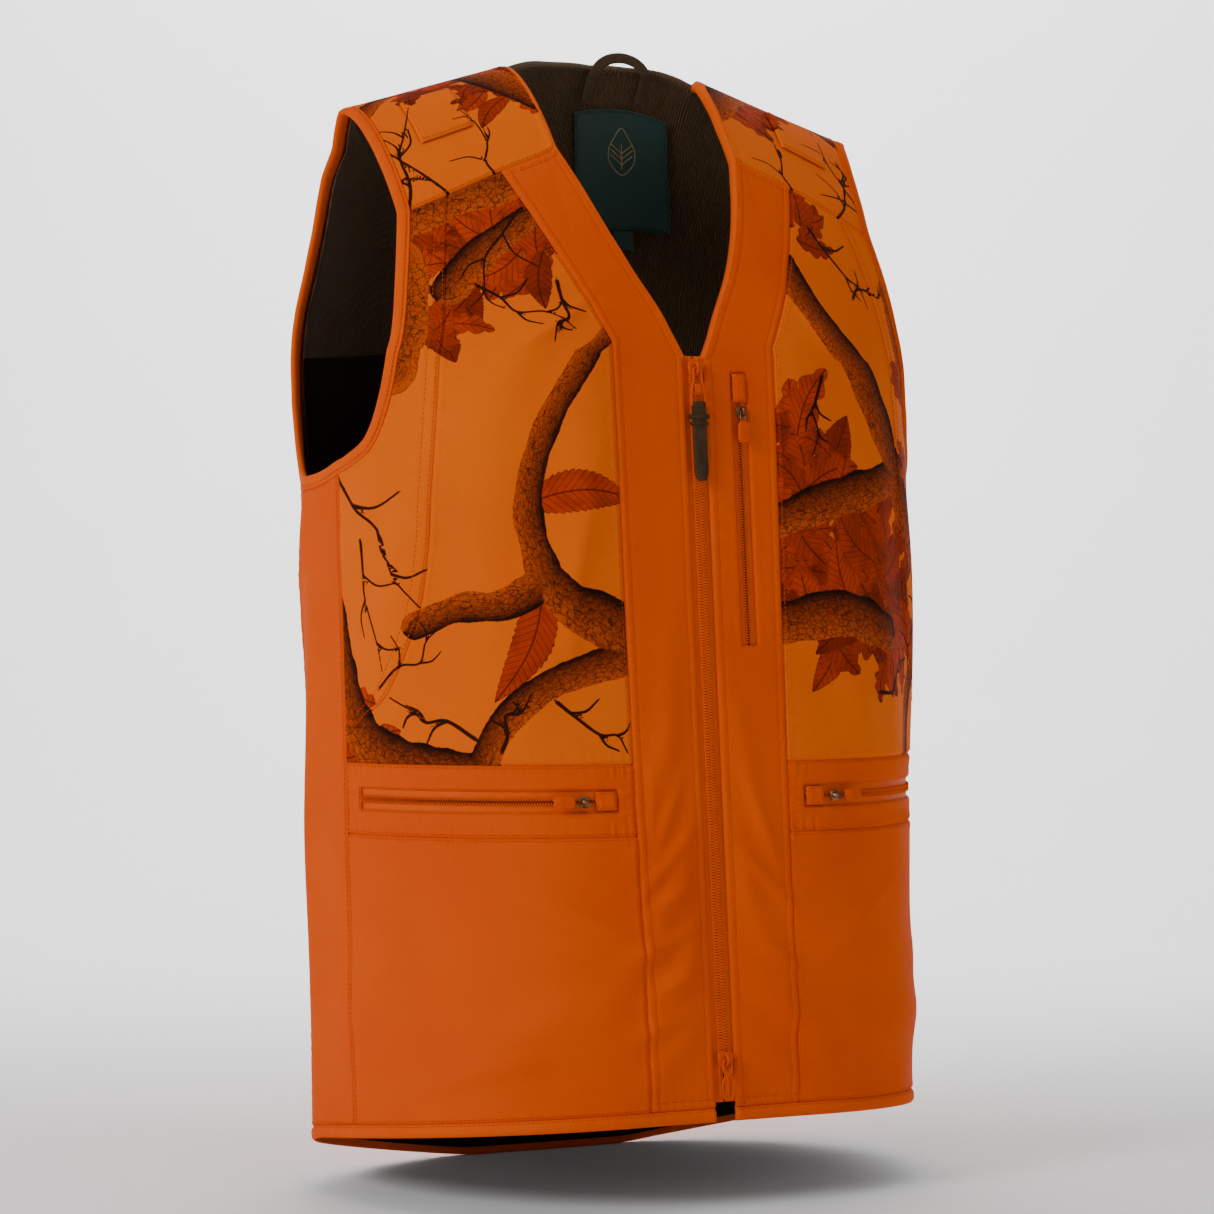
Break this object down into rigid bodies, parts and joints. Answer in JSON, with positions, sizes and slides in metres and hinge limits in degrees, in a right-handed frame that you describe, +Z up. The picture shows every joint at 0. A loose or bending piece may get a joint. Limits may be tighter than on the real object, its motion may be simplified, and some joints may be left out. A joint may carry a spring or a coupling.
{
  "type": "field vest",
  "caption": "Sleeveless field vest with V-neck, two-way front zip, vertical chest pocket zip, banded lower pockets with zips, bound armholes and a dropped back hem.",
  "frame": {"origin": "middle of the vest's footprint, level with the lowest point of the back hem", "axes": "+Z up through the neck opening, -Y out of the front, +X to the wearer's left"},
  "size_m": [0.4594, 0.291, 0.8033],
  "materials": {
    "printed_shell": "brushed woven shell, woodland print",
    "plain_shell": "brushed woven shell",
    "binding": "folded binding tape",
    "knit_lining": "ribbed knit",
    "mesh_lining": "hexagonal warp-knit mesh",
    "pocket_cloth": "plain pocket cloth",
    "label": "woven satin",
    "leather": "waxed leather",
    "metal": "bronzed zinc",
    "painted_metal": "orange enamel on zinc",
    "zip_plastic": "moulded polyester",
    "zip_tape": "woven zip tape"
  },
  "bodies": {
    "vest": {"back_hem_band": "binding", "back_lining": "mesh_lining", "back_lower": "plain_shell", "back_upper": "printed_shell", "chest_pocket_bag": "pocket_cloth", "chest_zip_garage": "plain_shell", "chest_zip_half_left": "zip_tape", "chest_zip_half_right": "zip_tape", "hanging_loop": "knit_lining", "left_armhole_binding": "binding", "left_chest_lining": "knit_lining", "left_front_chest": "printed_shell", "left_front_facing": "plain_shell", "left_front_lining": "mesh_lining", "left_front_side_chest": "printed_shell", "left_hem_band": "binding", "left_lower_pocket_panel": "plain_shell", "left_pocket_bag": "pocket_cloth", "left_pocket_band": "plain_shell", "left_pocket_garage": "plain_shell", "left_pocket_zip_lower": "zip_tape", "left_pocket_zip_upper": "zip_tape", "left_shoulder_patch": "printed_shell", "left_shoulder_yoke": "printed_shell", "left_side_panel": "plain_shell", "main_zip_tape_left": "zip_tape", "main_zip_tape_right": "zip_tape", "main_zip_teeth_left": "zip_plastic", "main_zip_teeth_right": "zip_plastic", "neck_label": "label", "neck_lining": "knit_lining", "right_armhole_binding": "binding", "right_chest_lining": "knit_lining", "right_front_chest": "printed_shell", "right_front_facing": "plain_shell", "right_front_lining": "mesh_lining", "right_front_side_chest": "printed_shell", "right_hem_band": "binding", "right_lower_pocket_panel": "plain_shell", "right_pocket_bag": "pocket_cloth", "right_pocket_band": "plain_shell", "right_pocket_garage": "plain_shell", "right_pocket_zip_lower": "zip_tape", "right_pocket_zip_upper": "zip_tape", "right_shoulder_patch": "printed_shell", "right_shoulder_yoke": "printed_shell", "right_side_panel": "plain_shell", "size_tab": "label"},
    "top_slider": {"top_slider_body": "painted_metal"},
    "top_pull": {"top_slider_pull": "painted_metal"},
    "tab": {"pull_tab": "leather"},
    "bottom_slider": {"bottom_slider_body": "painted_metal"},
    "bottom_pull": {"bottom_slider_pull": "painted_metal"},
    "chest_slider": {"chest_zip_slider": "metal"},
    "chest_pull": {"chest_zip_pull": "zip_plastic"},
    "left_pocket_slider": {"left_pocket_slider": "metal"},
    "left_pocket_pull": {"left_pocket_pull": "zip_plastic"},
    "right_pocket_slider": {"right_pocket_slider": "metal"},
    "right_pocket_pull": {"right_pocket_pull": "zip_plastic"}
  },
  "joints": [
    {"name": "top_slider_slide", "type": "slide", "parent": "vest", "child": "top_slider", "axis": [0, 0.0926, 0.9957], "range_m": [-0.37, 0]},
    {"name": "top_pull_hinge", "type": "hinge", "parent": "top_slider", "child": "top_pull", "pos_m": [0, -0.09801, 0.56451], "axis": [-1, 0, 0], "range_deg": [0, 150]},
    {"name": "pull_tab_hinge", "type": "hinge", "parent": "top_pull", "child": "tab", "pos_m": [0, -0.10026, 0.54031], "axis": [-1, 0, 0], "range_deg": [0, 60]},
    {"name": "bottom_slider_slide", "type": "slide", "parent": "vest", "child": "bottom_slider", "axis": [0, 0.0926, 0.9957], "range_m": [0, 0.32]},
    {"name": "bottom_pull_hinge", "type": "hinge", "parent": "bottom_slider", "child": "bottom_pull", "pos_m": [0, -0.14126, 0.09951], "axis": [-1, 0, 0], "range_deg": [0, 150]},
    {"name": "chest_slider_slide", "type": "slide", "parent": "vest", "child": "chest_slider", "axis": [0, 0.0926, 0.9957], "range_m": [-0.145, 0]},
    {"name": "chest_pull_hinge", "type": "hinge", "parent": "chest_slider", "child": "chest_pull", "pos_m": [0.034, -0.10066, 0.53601], "axis": [-1, 0, 0], "range_deg": [0, 150]},
    {"name": "left_pocket_slider_travel", "type": "hinge", "parent": "vest", "child": "left_pocket_slider", "pos_m": [0.063, 0.0405, 0.274], "axis": [0, 0, 1], "range_deg": [0, 50]},
    {"name": "left_pocket_pull_hinge", "type": "hinge", "parent": "left_pocket_slider", "child": "left_pocket_pull", "pos_m": [0.09649, -0.12158, 0.274], "axis": [0, 0, -1], "range_deg": [0, 150]},
    {"name": "right_pocket_slider_travel", "type": "hinge", "parent": "vest", "child": "right_pocket_slider", "pos_m": [-0.063, 0.0405, 0.274], "axis": [0, 0, -1], "range_deg": [0, 50]},
    {"name": "right_pocket_pull_hinge", "type": "hinge", "parent": "right_pocket_slider", "child": "right_pocket_pull", "pos_m": [-0.09649, -0.12158, 0.274], "axis": [0, 0, 1], "range_deg": [0, 150]}
  ]
}
